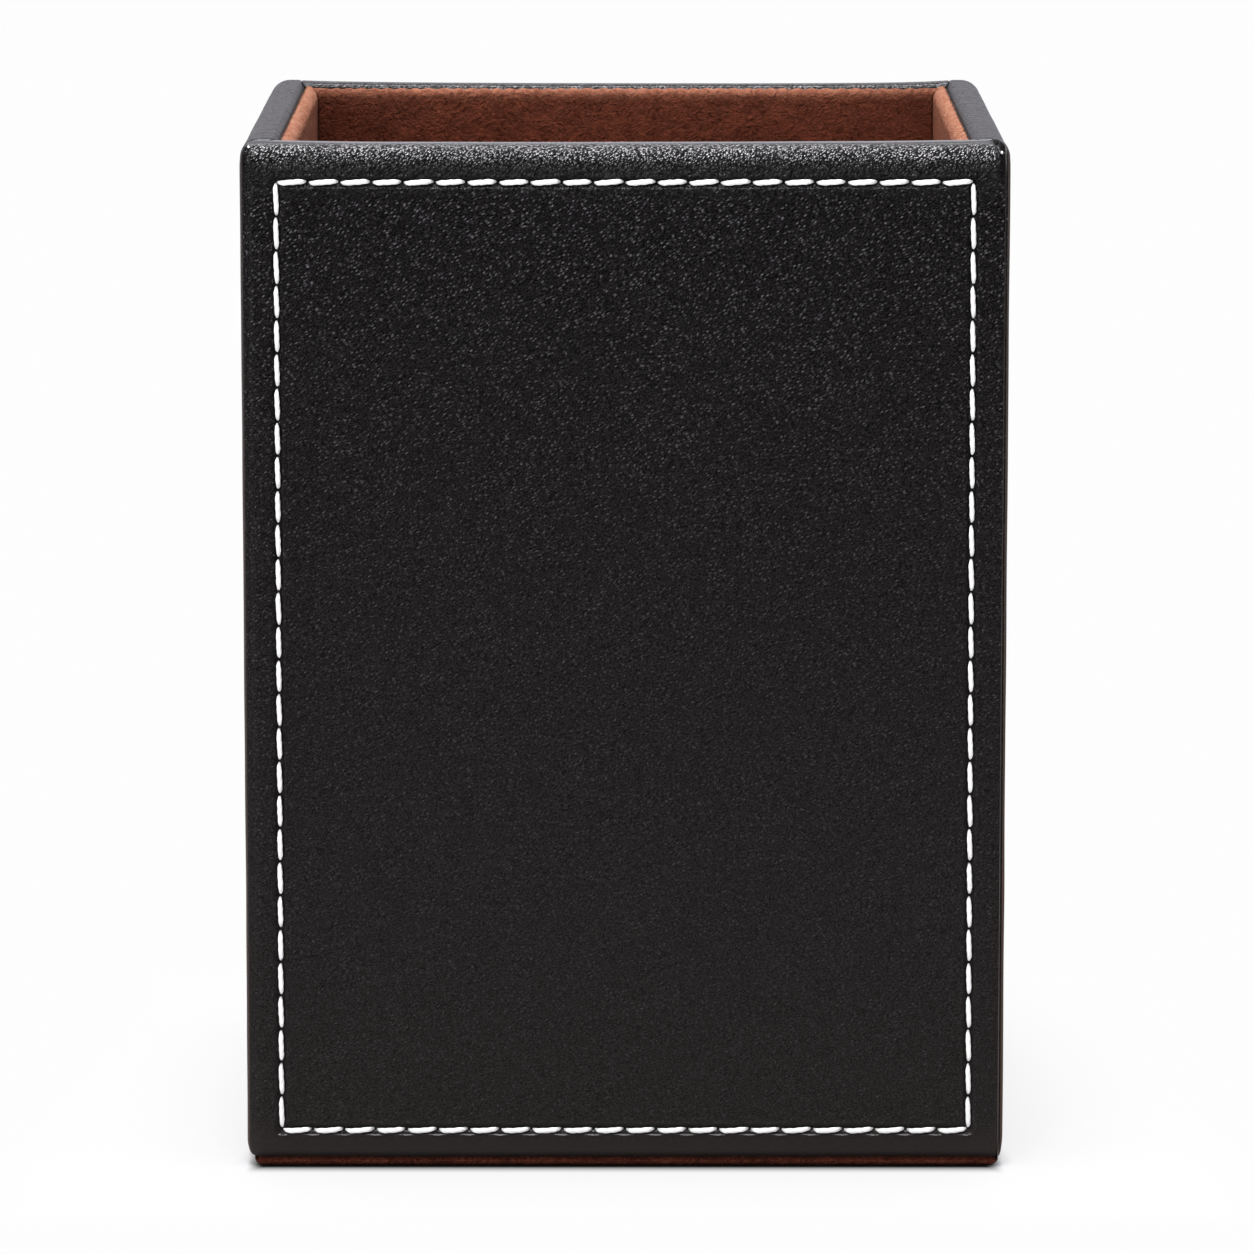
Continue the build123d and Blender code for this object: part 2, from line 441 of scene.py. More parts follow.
def rolled_face(panel, u, v, wrap):
    """Points, normals and roll of a panel's face with its edges rolled over and its corners rounded."""
    roll_u = np.where(u < 0, wrap.left, wrap.right)
    roll_v = np.where(v < 0, wrap.bottom, wrap.top)
    square = np.where(v < 0, wrap.square_bottom, wrap.square_top)
    core_u = np.clip(u, wrap.left - panel.width / 2, panel.width / 2 - wrap.right)
    core_v = np.clip(v, wrap.bottom - panel.height / 2, panel.height / 2 - wrap.top)
    over_u = (u - core_u) / roll_u
    over_v = (v - core_v) / roll_v
    a = np.abs(over_u)
    b = np.abs(over_v)
    reach = np.maximum(a, b)
    ratio = np.minimum(a, b) / np.maximum(reach, TINY)
    swing = np.where(a >= b, ratio, 2 - ratio) * math.pi / 4
    tilt = reach * math.pi / 2
    side = np.cos(swing)
    rise = np.sin(swing)
    spread = (side**square + rise**square) ** (1 / square)
    roll = roll_u * side**2 + roll_v * rise**2
    points = np.stack(
        [
            core_u + np.sign(over_u) * roll_u * np.sin(tilt) * side / spread,
            core_v + np.sign(over_v) * roll_v * np.sin(tilt) * rise / spread,
            panel.thickness - roll * (1 - np.cos(tilt)),
        ],
        axis=-1,
    )
    normal = np.stack(
        [np.sign(over_u) * np.sin(tilt) * side, np.sign(over_v) * np.sin(tilt) * rise, np.cos(tilt)], axis=-1
    )
    return points, normal, roll


def border(rows, columns):
    """Indices round the edge of a grid, in order."""
    grid = np.arange(rows * columns).reshape(rows, columns)
    return np.concatenate([grid[0, :-1], grid[:-1, -1], grid[-1, :0:-1], grid[:0:-1, 0]])


def grid_faces(rows, columns):
    """Quads of a grid of vertices."""
    grid = np.arange(rows * columns).reshape(rows, columns)
    corners = np.stack([grid[:-1, :-1], grid[:-1, 1:], grid[1:, 1:], grid[1:, :-1]], axis=-1)
    return [tuple(quad) for quad in corners.reshape(-1, 4).tolist()]


def sleeve_faces(loops):
    """Quads between one ring of vertices and the next."""
    faces = []
    for upper, lower in zip(loops[:-1], loops[1:]):
        for k in range(len(upper)):
            n = (k + 1) % len(upper)
            faces.append((int(upper[k]), int(lower[k]), int(lower[n]), int(upper[n])))
    return faces


def closed_faces(shape, ring, ring_count):
    """Faces of a grid, of the rings that follow its border, and of the lid on the last ring."""
    first = shape[0] * shape[1]
    loops = [ring] + [first + k * len(ring) + np.arange(len(ring)) for k in range(ring_count)]
    return grid_faces(*shape) + sleeve_faces(loops) + [tuple(int(i) for i in loops[-1])]


def wrapped_mesh(panel, u_lines, v_lines, wrap, shape):
    """Closed skin of a wrapped panel: face, rolled edges, turned-in back and the hollow for its core."""
    u, v = np.meshgrid(u_lines, v_lines)
    face, normal, roll = rolled_face(panel, u.ravel(), v.ravel(), wrap)
    face = shape(face, normal)
    ring = border(*u.shape)
    edge = face[ring]
    outward = normal[ring] * np.array([1, 1, 0])
    window = edge * np.array([1 - 2 * wrap.turn_in / panel.width, 1 - 2 * wrap.turn_in / panel.height, 0])
    unevenness = wrap.ragged * wavy(edge, BACK_WAVE_SIZE, BACK_EDGE_SEED) if wrap.ragged else 0.0
    back = wrap.stand_off + unevenness

    def loop(inset, depth):
        points = edge - outward * np.reshape(inset, (-1, 1))
        points[:, 2] = depth + back * np.clip(1 - depth / panel.thickness, 0, 1)
        return points

    skin = wrap.skin
    rings = []
    for t in np.linspace(0, math.pi / 2, INNER_ROLL_STEPS):
        rings.append(loop(wrap.inner * (1 - math.cos(t)), wrap.inner * (1 - math.sin(t))))
    window[:, 2] = back
    rings += [window, window + np.array([0, 0, skin])]
    rings += [loop(skin + wrap.inner, skin), loop(skin, wrap.inner + skin)]
    core_roll = np.maximum(roll[ring] - skin, LEAST_CORE_ROLL)
    for t in np.linspace(0, math.pi / 2, CORE_ROLL_STEPS):
        inset = skin + core_roll * (1 - math.cos(t))
        rings.append(loop(inset, panel.thickness - skin - core_roll * (1 - math.sin(t))))
    vertices = np.concatenate([face, *rings])
    return panel.to_world(vertices), closed_faces(u.shape, ring, len(rings))


def wavy(points, size, seed):
    """Smooth noise at points, from -1 to 1, with features of a given size, the same in every run."""
    offset = Vector([seed * step for step in NOISE_STEP])
    return np.array([noise.noise(Vector(p) / size + offset) for p in points])


class Graph:
    """Nodes of a material or a world under construction. Bands are pairs of millimetres."""

    def __init__(self, owner, shader="Principled BSDF", place="Object"):
        owner.use_nodes = True
        self.owner = owner
        self.tree = owner.node_tree
        self.shader = self.tree.nodes[shader]
        self.place = self.add("ShaderNodeTexCoord").outputs[place]

    def add(self, kind, inputs=None, **settings):
        """Adds a node: an input given as a socket is linked, any other value is set."""
        node = self.tree.nodes.new(kind)
        for key, value in settings.items():
            setattr(node, key, value)
        for key, value in (inputs or {}).items():
            self.feed(node.inputs[key], value)
        return node

    def feed(self, socket, value):
        if isinstance(value, bpy.types.NodeSocket):
            self.tree.links.new(value, socket)
        else:
            socket.default_value = value

    def finish(self, **inputs):
        """Sets or links the shader's own sockets and returns the material or the world."""
        for key, value in inputs.items():
            self.feed(self.shader.inputs[key.replace("_", " ")], value)
        return self.owner

    def math(self, operation, first, second=0.0):
        return self.add("ShaderNodeMath", {0: first, 1: second}, operation=operation).outputs[0]

    def vector(self, operation, inputs):
        return self.add("ShaderNodeVectorMath", inputs, operation=operation).outputs

    def fold(self, operation, values):
        """One operation over a list of values, from the first to the last."""
        result = values[0]
        for value in values[1:]:
            result = self.math(operation, result, value)
        return result

    def product(self, *values):
        return self.fold("MULTIPLY", values)

    def total(self, *values):
        return self.fold("ADD", values)

    def largest(self, *values):
        return self.fold("MAXIMUM", values)

    def axes(self, vector):
        """The three parts of a vector."""
        return self.add("ShaderNodeSeparateXYZ", {"Vector": vector}).outputs

    def first_channel(self, color):
        return self.add("ShaderNodeSeparateColor", {"Color": color}).outputs[0]

    def stretched(self, vector, stretch, slant_deg=0.0):
        """A place seen through a slanted grid that is stretched along its axes."""
        inputs = {"Vector": vector, "Rotation": (0, math.radians(slant_deg), 0), "Scale": stretch}
        return self.add("ShaderNodeMapping", inputs, vector_type="TEXTURE").outputs[0]

    def noise(self, size_mm, detail=2.0, vector=None, roughness=0.5, distortion=0.0, output="Fac"):
        """Soft noise, from 0 to 1, with features of a given size."""
        inputs = {
            "Vector": vector or self.place,
            "Scale": 1 / (size_mm * MM),
            "Detail": detail,
            "Roughness": roughness,
            "Distortion": distortion,
        }
        return self.add("ShaderNodeTexNoise", inputs).outputs[output]

    def cells(self, size_mm, vector):
        """Scattered cells: distance from the nearest centre and a random colour for each."""
        inputs = {"Vector": vector, "Scale": 1 / (size_mm * MM), "Randomness": 1.0}
        return self.add("ShaderNodeTexVoronoi", inputs).outputs

    def bump(self, height, strength, depth_mm, normal=None):
        """Normal of a relief, on top of another relief's normal if one is given."""
        inputs = {"Height": height, "Strength": strength, "Distance": depth_mm * MM}
        if normal:
            inputs["Normal"] = normal
        return self.add("ShaderNodeBump", inputs).outputs["Normal"]

    def ramp(self, factor, *stops):
        """Colour ramp through (position, colour) stops."""
        node = self.add("ShaderNodeValToRGB", {"Fac": factor})
        elements = node.color_ramp.elements
        while len(elements) < len(stops):
            elements.new(0.5)
        for element, (position, color) in zip(elements, stops):
            element.position = position
            element.color = (*color, 1.0)
        return node.outputs["Color"]

    def remap(self, value, low, high, to_low, to_high):
        inputs = {"Value": value, "From Min": low, "From Max": high, "To Min": to_low, "To Max": to_high}
        return self.add("ShaderNodeMapRange", inputs).outputs["Result"]

    def between(self, share, low, high):
        """Number that goes from low to high as a share goes from 0 to 1."""
        return self.remap(share, 0.0, 1.0, low, high)

    def across(self, length, band, low=0.0, high=1.0):
        """Number that goes from low to high as a length crosses a band."""
        return self.remap(length, band[0] * MM, band[1] * MM, low, high)

    def mix(self, factor, first, second):
        return self.add("ShaderNodeMix", {0: factor, 2: first, 3: second}).outputs[0]

    def blend(self, factor, under, over):
        """Colour between two colours."""
        return self.add("ShaderNodeMix", {0: factor, 6: under, 7: over}, data_type="RGBA").outputs[2]


def leather_zones(graph, finish):
    """Where the leather changes: down the face, on the roll, at the rim, crest, sides and foot."""
    x, y, height = graph.axes(graph.place)
    at_left = graph.across(x, LEFT_EDGE_BAND, finish.edge_grain, 1.0)
    at_right = graph.across(x, RIGHT_EDGE_BAND, 1.0, finish.edge_grain)
    return SimpleNamespace(
        x=x,
        y=y,
        height=height,
        fade=graph.across(height, FADE_BAND),
        on_roll=graph.across(height, ROLL_BAND),
        at_rim=graph.across(height, RIM_BAND),
        crest=graph.across(height, (finish.crest_start, CREST_TOP), 0.0, finish.crest_polish),
        at_side=graph.product(at_left, at_right),
        at_foot=graph.across(height, FOOT_BAND, 1.0, 0.0),
    )


def leather_pattern(graph, zones):
    """Marks of the leather along a slant: domed pebbles, fine ground and scattered light specks, which are
    painted highlights.
    """
    sway = graph.noise(GRAIN_SWAY_SIZE, 1.0, output="Color")
    bend = graph.vector("SCALE", {0: sway, "Scale": GRAIN_SWAY * MM})[0]
    moved = graph.vector("ADD", {0: graph.place, 1: bend})[0]
    slant = graph.stretched(moved, (PEBBLE_STRETCH, 1.0, 1.0), GRAIN_SLANT_DEG)
    pebbles = graph.cells(PEBBLE_SIZE, slant)
    dome = graph.math("SUBTRACT", 1.0, graph.product(pebbles["Distance"], pebbles["Distance"]))
    wrinkles = graph.noise(WRINKLE_SIZE, 1.0, slant)
    dashes = graph.stretched(moved, (SPECK_PAINT_STRETCH, 1.0, 1.0), GRAIN_SLANT_DEG)
    marks = graph.cells(PEBBLE_SIZE, dashes)
    luck = graph.remap(graph.first_channel(marks["Color"]), SPECK_PAINT_LEAST_LUCK, 1.0, 0.0, 1.0)
    return SimpleNamespace(
        grain=graph.total(dome, graph.product(wrinkles, WRINKLE_SHARE)),
        chance=graph.first_channel(pebbles["Color"]),
        ground=graph.remap(graph.noise(GROUND_SIZE, 1.0, slant), *NOISE_MIDDLE, 0.0, 1.0),
        painted_specks=graph.product(
            graph.remap(marks["Distance"], *SPECK_PAINT_RADII, 1.0, 0.0),
            graph.math("POWER", luck, SPECK_PAINT_SPREAD_POWER),
            graph.between(zones.on_roll, 1.0, 0.0),
        ),
    )


def leather_relief(graph, finish, zones, pattern):
    """Normal of the leather: pebbles, strongest on the roll, and streaks across the rim."""
    level = graph.product(
        graph.between(zones.on_roll, FACE_GRAIN, 1.0),
        graph.between(zones.at_rim, 1.0, finish.rim_grain),
        graph.between(zones.crest, 1.0, CREST_GRAIN),
        zones.at_side,
        graph.between(zones.at_foot, 1.0, FOOT_GRAIN),
        graph.remap(graph.noise(PATCH_SIZE), *NOISE_MIDDLE, *PATCH_LEVELS),
    )
    grain = graph.bump(pattern.grain, level, GRAIN_DEPTH)
    streaks = graph.noise(STREAK_SIZE, 1.0, graph.stretched(graph.place, STREAK_STRETCH))
    return graph.bump(streaks, graph.product(zones.at_rim, finish.rim_streaks), STREAK_DEPTH, grain)


def leather_gloss(graph, finish, zones, pattern, glint):
    """Coat of the leather: polished pebbles on the roll, crest, stretched slopes, wall ends and corners."""
    polish = graph.remap(pattern.grain, *POLISHED_GRAIN, 0.0, 1.0)
    pebble = graph.product(polish, graph.between(pattern.chance, DULLEST_PEBBLE, 1.0))
    coat = graph.product(
        graph.mix(zones.crest, pebble, finish.crest_coat),
        graph.between(zones.on_roll, FACE_GLOSS, 1.0),
        graph.across(zones.height, GLOSS_BAND, LOWER_ROLL_GLOSS, finish.rim_gloss),
        zones.at_side,
    )
    slope = graph.axes(graph.add("ShaderNodeNewGeometry").outputs["Normal"])["Z"]
    stretched = graph.product(
        graph.remap(slope, *STRETCH_SLOPE, 0.0, STRETCH_COAT),
        graph.between(zones.on_roll, 1.0, 0.0),
        graph.between(zones.fade, *STRETCH_LEVELS),
    )
    ridge = graph.product(graph.remap(slope, *RIDGE_SLOPE, 0.0, RIDGE_COAT), zones.on_roll)
    edges = graph.product(graph.total(stretched, ridge), finish.edge_gloss_and_painted_light)
    wall_end = graph.product(graph.across(zones.y, WALL_END_BAND, 0.0, finish.end_gloss), zones.at_rim)
    return graph.largest(graph.total(coat, edges, wall_end), glint)


def leather_glint(graph, finish, zones):
    """Painted highlights at the upper corners of the front panel, which also raise the coat there."""
    flat = graph.add("ShaderNodeCombineXYZ", {"X": zones.x, "Z": zones.height}).outputs[0]
    spots = []
    for x, z in GLOSSY_PAINTED_GLINT_SPOTS:
        distance = graph.vector("DISTANCE", {0: flat, 1: (x * MM, 0, z * MM)})["Value"]
        spots.append(graph.across(distance, PAINTED_GLINT_RADII, finish.edge_gloss_and_painted_light, 0.0))
    return graph.largest(*spots)


def leather_color(graph, finish, zones, pattern, glint):
    """Black ground with painted light: paler towards the foot as painted reflection of the floor, light
    specks and corner glints as painted highlights, a brown-grey edge as painted reflection and a light line
    beside it as painted highlight.
    """
    edge_gloss_and_painted_light = finish.edge_gloss_and_painted_light
    rise = graph.math("POWER", zones.fade, GROUND_FADE_POWER)
    upper = graph.ramp(pattern.ground, *UPPER_GROUND)
    lower = graph.ramp(pattern.ground, *LOWER_GROUND_PAINTED_BOUNCE)
    # Paler towards the foot: painted reflection of the floor
    color = graph.blend(rise, lower, upper)
    # Painted highlights: light specks on the face, fewer towards the foot
    speck_paint_level = graph.between(graph.math("POWER", zones.fade, SPECK_PAINT_FADE_POWER), LOWEST_SPECK_PAINT, 1.0)
    color = graph.blend(graph.product(pattern.painted_specks, speck_paint_level), color, PAINTED_SPECK_COLOR)
    # Painted reflection of the floor at the very foot
    color = graph.blend(zones.at_foot, color, PAINTED_BOUNCE_FOOT_COLOR)
    drift = graph.product(zones.fade, zones.fade, EDGE_DRIFT * MM)
    aside = graph.math("SUBTRACT", graph.math("ABSOLUTE", zones.x), drift)
    # Painted reflection along the side edges, weaker on the left
    at_painted_edge = graph.product(
        graph.across(aside, PAINTED_EDGE_BAND),
        graph.across(zones.x, MIDDLE_BAND, LEFT_PAINTED_EDGE_SHARE * edge_gloss_and_painted_light, edge_gloss_and_painted_light),
        graph.across(zones.y, PAINTED_EDGE_FRONT, 1.0, 0.0),
    )
    color = graph.blend(at_painted_edge, color, graph.ramp(zones.fade, *EDGE_PAINTED_REFLECTION_TINT))
    # Painted highlight: light line beside the crease at the right edge
    from_line = graph.math("SUBTRACT", graph.math("SUBTRACT", zones.x, drift), PAINTED_LINE_X * MM)
    on_painted_line = graph.across(graph.math("ABSOLUTE", from_line), PAINTED_LINE_BAND, edge_gloss_and_painted_light, 0.0)
    color = graph.blend(on_painted_line, color, graph.ramp(zones.fade, *PAINTED_HIGHLIGHT_LINE_TINT))
    # Painted highlight: white glints at the upper corners
    return graph.blend(glint, color, PAINTED_GLINT_COLOR)


def black_leather(finish):
    """Black leather: polished pebbles on the rolled rim, and light specks painted as highlights on a dark
    ground below it.
    """
    graph = Graph(bpy.data.materials.new(finish.name))
    zones = leather_zones(graph, finish)
    pattern = leather_pattern(graph, zones)
    glint = leather_glint(graph, finish, zones)
    surface = leather_relief(graph, finish, zones, pattern)
    return graph.finish(
        Base_Color=leather_color(graph, finish, zones, pattern, glint),
        Roughness=graph.remap(pattern.grain, *RAISED_GRAIN, *RAISED_ROUGHNESS),
        Specular_IOR_Level=0.05,
        Coat_Weight=leather_gloss(graph, finish, zones, pattern, glint),
        Coat_Roughness=0.12,
        Coat_Normal=surface,
        Sheen_Weight=0.04,
        Sheen_Roughness=0.25,
        Sheen_Tint=(0.95, 0.95, 1.0, 1.0),
        Normal=surface,
    )


def brown_suede(finish):
    """Red-brown suede: mottled, brushed nap with a soft sheen, creased, paler towards the rim as rubbed nap
    and painted light, and darker in the corners as painted shade.
    """
    graph = Graph(bpy.data.materials.new(finish.name))
    nap = graph.noise(SUEDE_NAP_SIZE, 2.0, roughness=0.6, distortion=1.6)
    brushed = graph.noise(SUEDE_BRUSH_SIZE, 3.0, roughness=0.6)
    fibres = graph.noise(SUEDE_FIBRE_SIZE)
    along = graph.stretched(graph.place, SUEDE_CREASE_STRETCH)
    creases = graph.noise(SUEDE_CREASE_SIZE, 2.0, along, distortion=1.0)
    mottle = graph.total(graph.product(nap, SUEDE_NAP_SHARE), graph.product(brushed, SUEDE_BRUSH_SHARE))
    color = graph.ramp(mottle, *zip(SUEDE_MOTTLE, (finish.dark, finish.light)))
    x, _, height = graph.axes(graph.place)
    upper = graph.across(height, SUEDE_UPPER_BAND, 0.0, finish.upper_wear_and_light)
    rim = graph.across(height, SUEDE_RIM_BAND, 0.0, 1 - finish.upper_wear_and_light)
    # Paler towards the rim: part rubbed nap, part painted light where the lamps fall on the rim
    worn_and_lit = graph.product(graph.total(upper, rim), graph.remap(creases, *SUEDE_CREASES, SUEDE_LEAST_WEAR_AND_LIGHT, 1.0))
    color = graph.blend(worn_and_lit, color, (*finish.rubbed_and_lit, 1.0))
    # Painted shade: darker towards the corners of the cup
    shade = graph.across(graph.math("ABSOLUTE", x), SUEDE_CORNER_BAND, 0.0, finish.corner_shade)
    color = graph.blend(shade, color, (*finish.dark, 1.0))
    relief = graph.total(nap, creases, graph.product(fibres, SUEDE_FIBRE_SHARE))
    return graph.finish(
        Base_Color=color,
        Roughness=0.95,
        Specular_IOR_Level=0.1,
        Sheen_Weight=finish.sheen,
        Sheen_Roughness=0.4,
        Sheen_Tint=(1.0, 0.48, 0.3, 1.0),
        Normal=graph.bump(relief, 1.0, SUEDE_DEPTH),
    )


def white_thread():
    """Bonded white thread: faint lines between its plies, a little grey at random, and grey in the hollows of
    its fine relief as painted shade.
    """
    graph = Graph(bpy.data.materials.new("white_thread"))
    strands = graph.noise(size_mm=0.12)
    tone = graph.noise(size_mm=1.4)
    mixed = graph.product(graph.total(strands, tone), 0.5)
    # Greyer where the fine relief is low: painted shade in the hollows, mixed with random tone
    color = graph.ramp(mixed, (0.3, (0.8, 0.8, 0.79)), (0.6, (0.92, 0.92, 0.91)))
    surface = graph.bump(strands, strength=0.5, depth_mm=0.03)
    return graph.finish(Base_Color=color, Roughness=0.6, Specular_IOR_Level=0.3, Normal=surface)


def fibre_board(name, dark, light, fleck_mm):
    """Uncoated board or felt: pressed fibres with darker flecks."""
    graph = Graph(bpy.data.materials.new(name))
    flecks = graph.noise(fleck_mm, detail=4.0, roughness=0.7)
    color = graph.ramp(flecks, (0.35, dark), (0.65, light))
    surface = graph.bump(flecks, strength=0.4, depth_mm=0.05)
    return graph.finish(Base_Color=color, Roughness=0.9, Normal=surface)


def seam_runs(panel):
    """The four straight runs of the seam, clockwise: start, end, stitch count and lean."""
    left = SEAM_INSET_SIDE - panel.width / 2
    top = panel.height / 2 - SEAM_INSET_TOP
    bottom = SEAM_INSET_BOTTOM - panel.height / 2
    corners = [Vector((left, top)), Vector((-left, top)), Vector((-left, bottom)), Vector((left, bottom))]
    runs = []
    for index, start in enumerate(corners):
        end = corners[(index + 1) % 4]
        pitch, lean = (ROW_PITCH, ROW_LEAN_DEG) if index % 2 == 0 else (COLUMN_PITCH, COLUMN_LEAN_DEG)
        runs.append((start, end, round((end - start).length / pitch), math.radians(lean)))
    return runs


def seam_relief(panel, points):
    """Depth of the groove, the needle holes and the puckers beside them, out of the face."""
    relief = np.zeros(len(points))
    for start, end, count, _ in seam_runs(panel):
        length = (end - start).length
        along = (end - start) / length
        pitch = length / count
        s = (points[:, 0] - start.x) * along.x + (points[:, 1] - start.y) * along.y
        t = (points[:, 1] - start.y) * along.x - (points[:, 0] - start.x) * along.y
        inside = np.clip(np.minimum(s, length - s) / RUN_END_FADE + 1, 0, 1)
        to_hole = s - pitch * np.round(s / pitch)
        groove = -GROOVE_DEPTH * np.exp(-((t / GROOVE_HALF_WIDTH) ** 4))
        hole = -HOLE_DEPTH * np.exp(-((t / HOLE_ACROSS) ** 2) - (to_hole / HOLE_ALONG) ** 2)
        beside = (np.abs(t) - PUCKER_DISTANCE) / PUCKER_WIDTH
        pucker = PUCKER_HEIGHT * np.exp(-(beside**2) - (to_hole / PUCKER_LENGTH) ** 2)
        run_relief = (groove + hole + pucker) * inside
        relief = np.where(np.abs(run_relief) > np.abs(relief), run_relief, relief)
    return relief


def front_outline(panel, points):
    """How far the side edges move out: the fit to the walls, less the rounding of all four corners."""
    left = points[:, 0] < 0
    from_edge = panel.width / 2 - np.abs(points[:, 0])
    near_edge = np.clip(1 - from_edge / EDGE_REACH, 0, 1)
    from_bottom = np.clip(points[:, 1] + panel.height / 2, 0, panel.height)
    into_corner = np.clip(1 - from_bottom / np.where(left, LEFT_CORNER_HEIGHT, RIGHT_CORNER_HEIGHT), 0, 1)
    inset = np.where(left, LEFT_CORNER_INSET, RIGHT_CORNER_INSET)
    into_top = np.clip(1 - (panel.height - from_bottom) / TOP_CORNER_HEIGHT, 0, 1)
    rounding = inset * (1 - np.sqrt(1 - into_corner**2)) + TOP_CORNER_INSET * (1 - np.sqrt(1 - into_top**2))
    fit = EDGE_FIT + EDGE_FULLNESS * (from_bottom / panel.height) ** 2
    return np.sign(points[:, 0]) * (np.sqrt(near_edge) * fit - near_edge * rounding)


def edge_crease(panel, points):
    """Narrow crease where the leather meets the right wall, wider and deeper towards the upper corner."""
    from_edge = panel.width / 2 - points[:, 0]
    into_fold = np.clip((points[:, 1] - panel.height / 2) / FOLD_HEIGHT + 1, 0, 1) ** 2
    half_width = CREASE_HALF_WIDTH + FOLD_HALF_WIDTH * into_fold
    depth = CREASE_DEPTH + FOLD_DEPTH * into_fold
    middle = CREASE_FROM_EDGE + FOLD_SHIFT * into_fold
    lip = LIP_HEIGHT * (1 - into_fold) * np.exp(-(((from_edge - LIP_FROM_EDGE) / LIP_HALF_WIDTH) ** 2))
    return lip - depth * np.exp(-(((from_edge - middle) / half_width) ** 2))


def corner_marks(panel, points):
    """Small beads and dents where the leather is folded at the upper corners."""
    relief = np.zeros(len(points))
    from_top = panel.height / 2 - points[:, 1]
    for across, below, height, half_width, half_height in CORNER_MARKS:
        reach = ((points[:, 0] - across) / half_width) ** 2 + ((from_top - below) / half_height) ** 2
        relief += height * np.exp(-reach)
    return relief


def rim_sag(panel, points):
    """How far the top edge sags between the corners, with a narrow dip along its crest."""
    across = np.clip(points[:, 0] / (panel.width / 2), -1, 1)
    below_top = panel.height / 2 - points[:, 1]
    sag = RIM_SAG * (1 - across**2) * np.clip(1 - below_top / RIM_SAG_REACH, 0, 1) ** 2
    level = (1 - across**RIM_DIP_POWER) * (1 - RIM_DIP_TILT * across)
    return sag + RIM_DIP * level * np.clip(1 - below_top / RIM_DIP_REACH, 0, 1) ** 2


def front_shape(panel):
    """Relief of the front leather: seam, edge crease, corner folds, sagging rim and a faintly uneven face."""

    def shape(points, normal):
        lift = seam_relief(panel, points) + edge_crease(panel, points) + corner_marks(panel, points)
        lift += FACE_WAVES * (wavy(points, FACE_WAVE_SIZE, FRONT_SEED) - 1)
        points = points + normal * lift[:, None]
        points[:, 0] += front_outline(panel, points)
        points[:, 1] -= rim_sag(panel, points)
        return points

    return shape


def wall_shape(panel, seed):
    """Relief of a wrapped wall: faintly uneven, fuller towards the rim, pressed to the front panel there."""
    front = -panel.across.y

    def shape(points, normal):
        rise = np.clip(points[:, 1] / panel.height + 0.5, 0, 1)
        lift = WALL_WAVES * wavy(points, WALL_WAVE_SIZE, seed) - WALL_WAVES + WALL_FULLNESS * rise**2
        at_front = np.clip(1 - (panel.width / 2 - front * points[:, 0]) / WALL_PRESS_REACH, 0, 1)
        at_top = np.clip(1 - (panel.height / 2 - points[:, 1]) / WALL_PRESS_REACH, 0, 1)
        points = points + normal * lift[:, None] * np.array([1, WALL_RIM_SHARE, 1])
        points[:, 0] += front * WALL_PRESS * at_front * at_top
        return points

    return shape


def back_shape(panel, seed):
    """Relief of the back wall, whose upper ends are pressed out against the rolled rims of the side walls."""
    plain = wall_shape(panel, seed)

    def shape(points, normal):
        below_rim = np.clip(panel.height / 2 - points[:, 1], 0, WALL_INNER_ROLL)
        room = WALL_INNER_ROLL - np.sqrt(WALL_INNER_ROLL**2 - (WALL_INNER_ROLL - below_rim) ** 2)
        near_end = np.clip((np.abs(points[:, 0]) - panel.width / 2) / BACK_PRESS_REACH + 1, 0, 1)
        points = plain(points, normal)
        points[:, 0] += np.sign(points[:, 0]) * BACK_PRESS_SHARE * room * near_end**2
        points[:, 1] -= rim_sag(panel, points)
        return points

    return shape


def suede_shape(panel, seed, drop, end_fit):
    """Relief of suede: uneven nap, wrinkles across the rim, a drop of the rim and a close fit at the ends."""

    def shape(points, normal):
        nap = NAP_WAVES * (wavy(points, NAP_FINE, seed) + wavy(points, NAP_COARSE, seed + 1) - 2)
        below_rim = panel.height / 2 - points[:, 1]
        at_rim = np.clip(1 - below_rim / SUEDE_RIM_REACH, 0, 1)
        wander = SUEDE_WRINKLE_WANDER * wavy(points, SUEDE_WANDER_SIZE, seed + 2)
        phase = 2 * math.pi * points[:, 0] / SUEDE_WRINKLE_PITCH + wander
        wrinkle = SUEDE_WRINKLE * np.sin(phase) * at_rim
        from_end = panel.width / 2 - np.abs(points[:, 0])
        lift = (nap + wrinkle) * np.clip(from_end / SUEDE_END_REACH, 0, 1)
        points = points + normal * lift[:, None] * np.array([0, 1, 1])
        short = np.clip(SIDE_ROLL - below_rim, 0, SIDE_ROLL)
        room = SIDE_ROLL - np.sqrt(SIDE_ROLL**2 - short**2)
        reach = end_fit * (1 + SUEDE_END_FLARE * room)
        points[:, 0] += np.sign(points[:, 0]) * reach * np.clip(1 - from_end, 0, 1)
        points[:, 1] -= drop * np.clip(1 - below_rim / SUEDE_DROP_REACH, 0, 1)
        return points

    return shape


